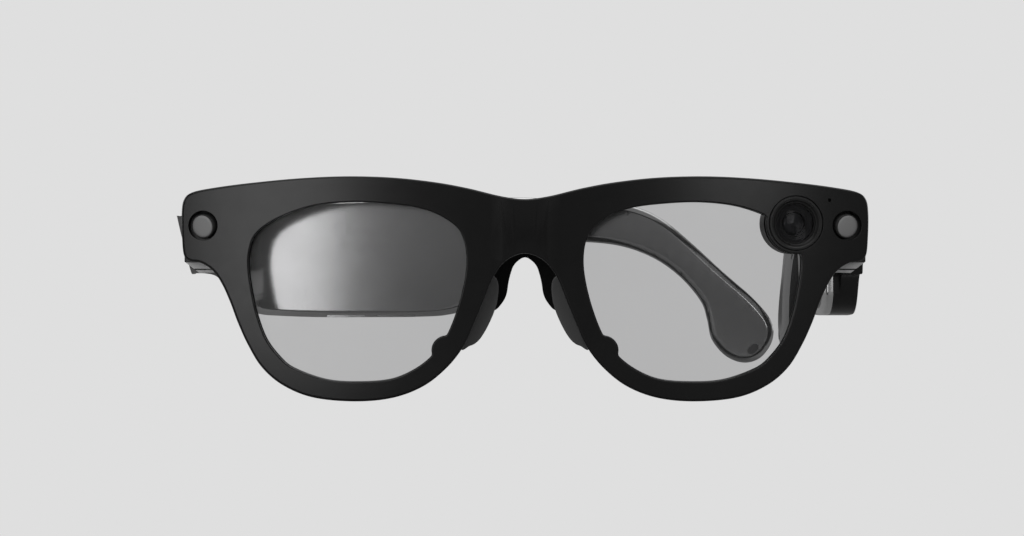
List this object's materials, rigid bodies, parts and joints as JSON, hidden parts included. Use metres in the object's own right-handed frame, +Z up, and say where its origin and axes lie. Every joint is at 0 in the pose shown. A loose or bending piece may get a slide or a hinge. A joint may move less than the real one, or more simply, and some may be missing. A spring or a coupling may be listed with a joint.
{
  "type": "smart glasses",
  "caption": "Black smart glasses with a wrapped full-rim front, tinted lenses, a round corner camera, side and eye-facing cameras, and tall folding temples with hooked ends.",
  "frame": {"origin": "top of the nose arch, in the middle plane, on the front surface of the frame", "axes": "+X to the wearer's left, +Y back towards the ears, +Z up; the right temple rests folded behind the lenses and the left temple rests open"},
  "size_m": [0.1511, 0.1434, 0.0481],
  "materials": {
    "frame_satin": "satin black moulded plastic",
    "temple_gloss": "glossy black moulded plastic",
    "lens_tint": "light grey tint, polished",
    "camera_black": "deep black, semi-gloss",
    "camera_glass": "coated, polished",
    "window_grey": "smoked grey, satin",
    "steel": "fine brushed",
    "pad_gloss": "smooth, glossy",
    "pad_soft": "soft-touch silicone",
    "board": "solder-masked circuit board",
    "flex": "polyimide flexible circuit",
    "cell": "laminated foil pouch",
    "speaker_body": "matt black housing",
    "mesh": "fine woven steel mesh",
    "contact": "polished plated metal",
    "control": "glossy black moulded plastic"
  },
  "bodies": {
    "front": {"front_cover": "frame_satin", "rear_frame": "frame_satin", "lens_right": "lens_tint", "lens_left": "lens_tint", "main_camera_bezel": "camera_black", "main_camera_glass": "camera_glass", "main_camera_barrel": "camera_black", "main_camera_lens": "camera_glass", "tracking_camera_right": "camera_black", "tracking_camera_left": "camera_black", "tracking_window_right": "window_grey", "tracking_window_left": "window_grey", "eye_camera_right": "camera_black", "eye_camera_left": "camera_black", "microphone": "mesh", "brow_flex": "flex", "nose_saddle": "pad_soft", "pad_holder_right": "pad_gloss", "pad_holder_left": "pad_gloss", "pad_screws": "steel", "hinge_bracket_right": "steel", "hinge_bracket_left": "steel", "hinge_pin_right": "steel", "hinge_pin_left": "steel", "bracket_screws": "steel"},
    "temple_right": {"temple_outer_right": "temple_gloss", "temple_inner_right": "temple_gloss", "temple_hinge_right": "steel", "temple_screws_right": "steel", "logic_board_right": "board", "battery_right": "cell", "speaker_right": "speaker_body", "speaker_mesh_right": "mesh", "temple_core_right": "steel", "ear_contact_right": "contact", "capture_switch": "control"},
    "temple_left": {"temple_outer_left": "temple_gloss", "temple_inner_left": "temple_gloss", "temple_hinge_left": "steel", "temple_screws_left": "steel", "logic_board_left": "board", "battery_left": "cell", "speaker_left": "speaker_body", "speaker_mesh_left": "mesh", "temple_core_left": "steel", "ear_contact_left": "contact", "power_switch": "control"},
    "capture_button": {"capture_button": "control"},
    "power_slider": {"power_slider": "control"}
  },
  "joints": [
    {"name": "right_temple_fold", "type": "hinge", "parent": "front", "child": "temple_right", "pos_m": [-0.0675, 0.0215, 0.0001], "axis": [0, 0, 1], "range_deg": [0, 94]},
    {"name": "left_temple_fold", "type": "hinge", "parent": "front", "child": "temple_left", "pos_m": [0.0675, 0.0215, 0.0001], "axis": [0, 0, -1], "range_deg": [-86, 0]},
    {"name": "capture_press", "type": "slide", "parent": "temple_right", "child": "capture_button", "axis": [0, 0, -1], "range_m": [0, 0.0005], "stiffness_N_per_m": 2000, "springref_m": -0.0002},
    {"name": "power_slide", "type": "slide", "parent": "temple_left", "child": "power_slider", "axis": [0, 1, 0], "range_m": [0, 0.002]}
  ]
}
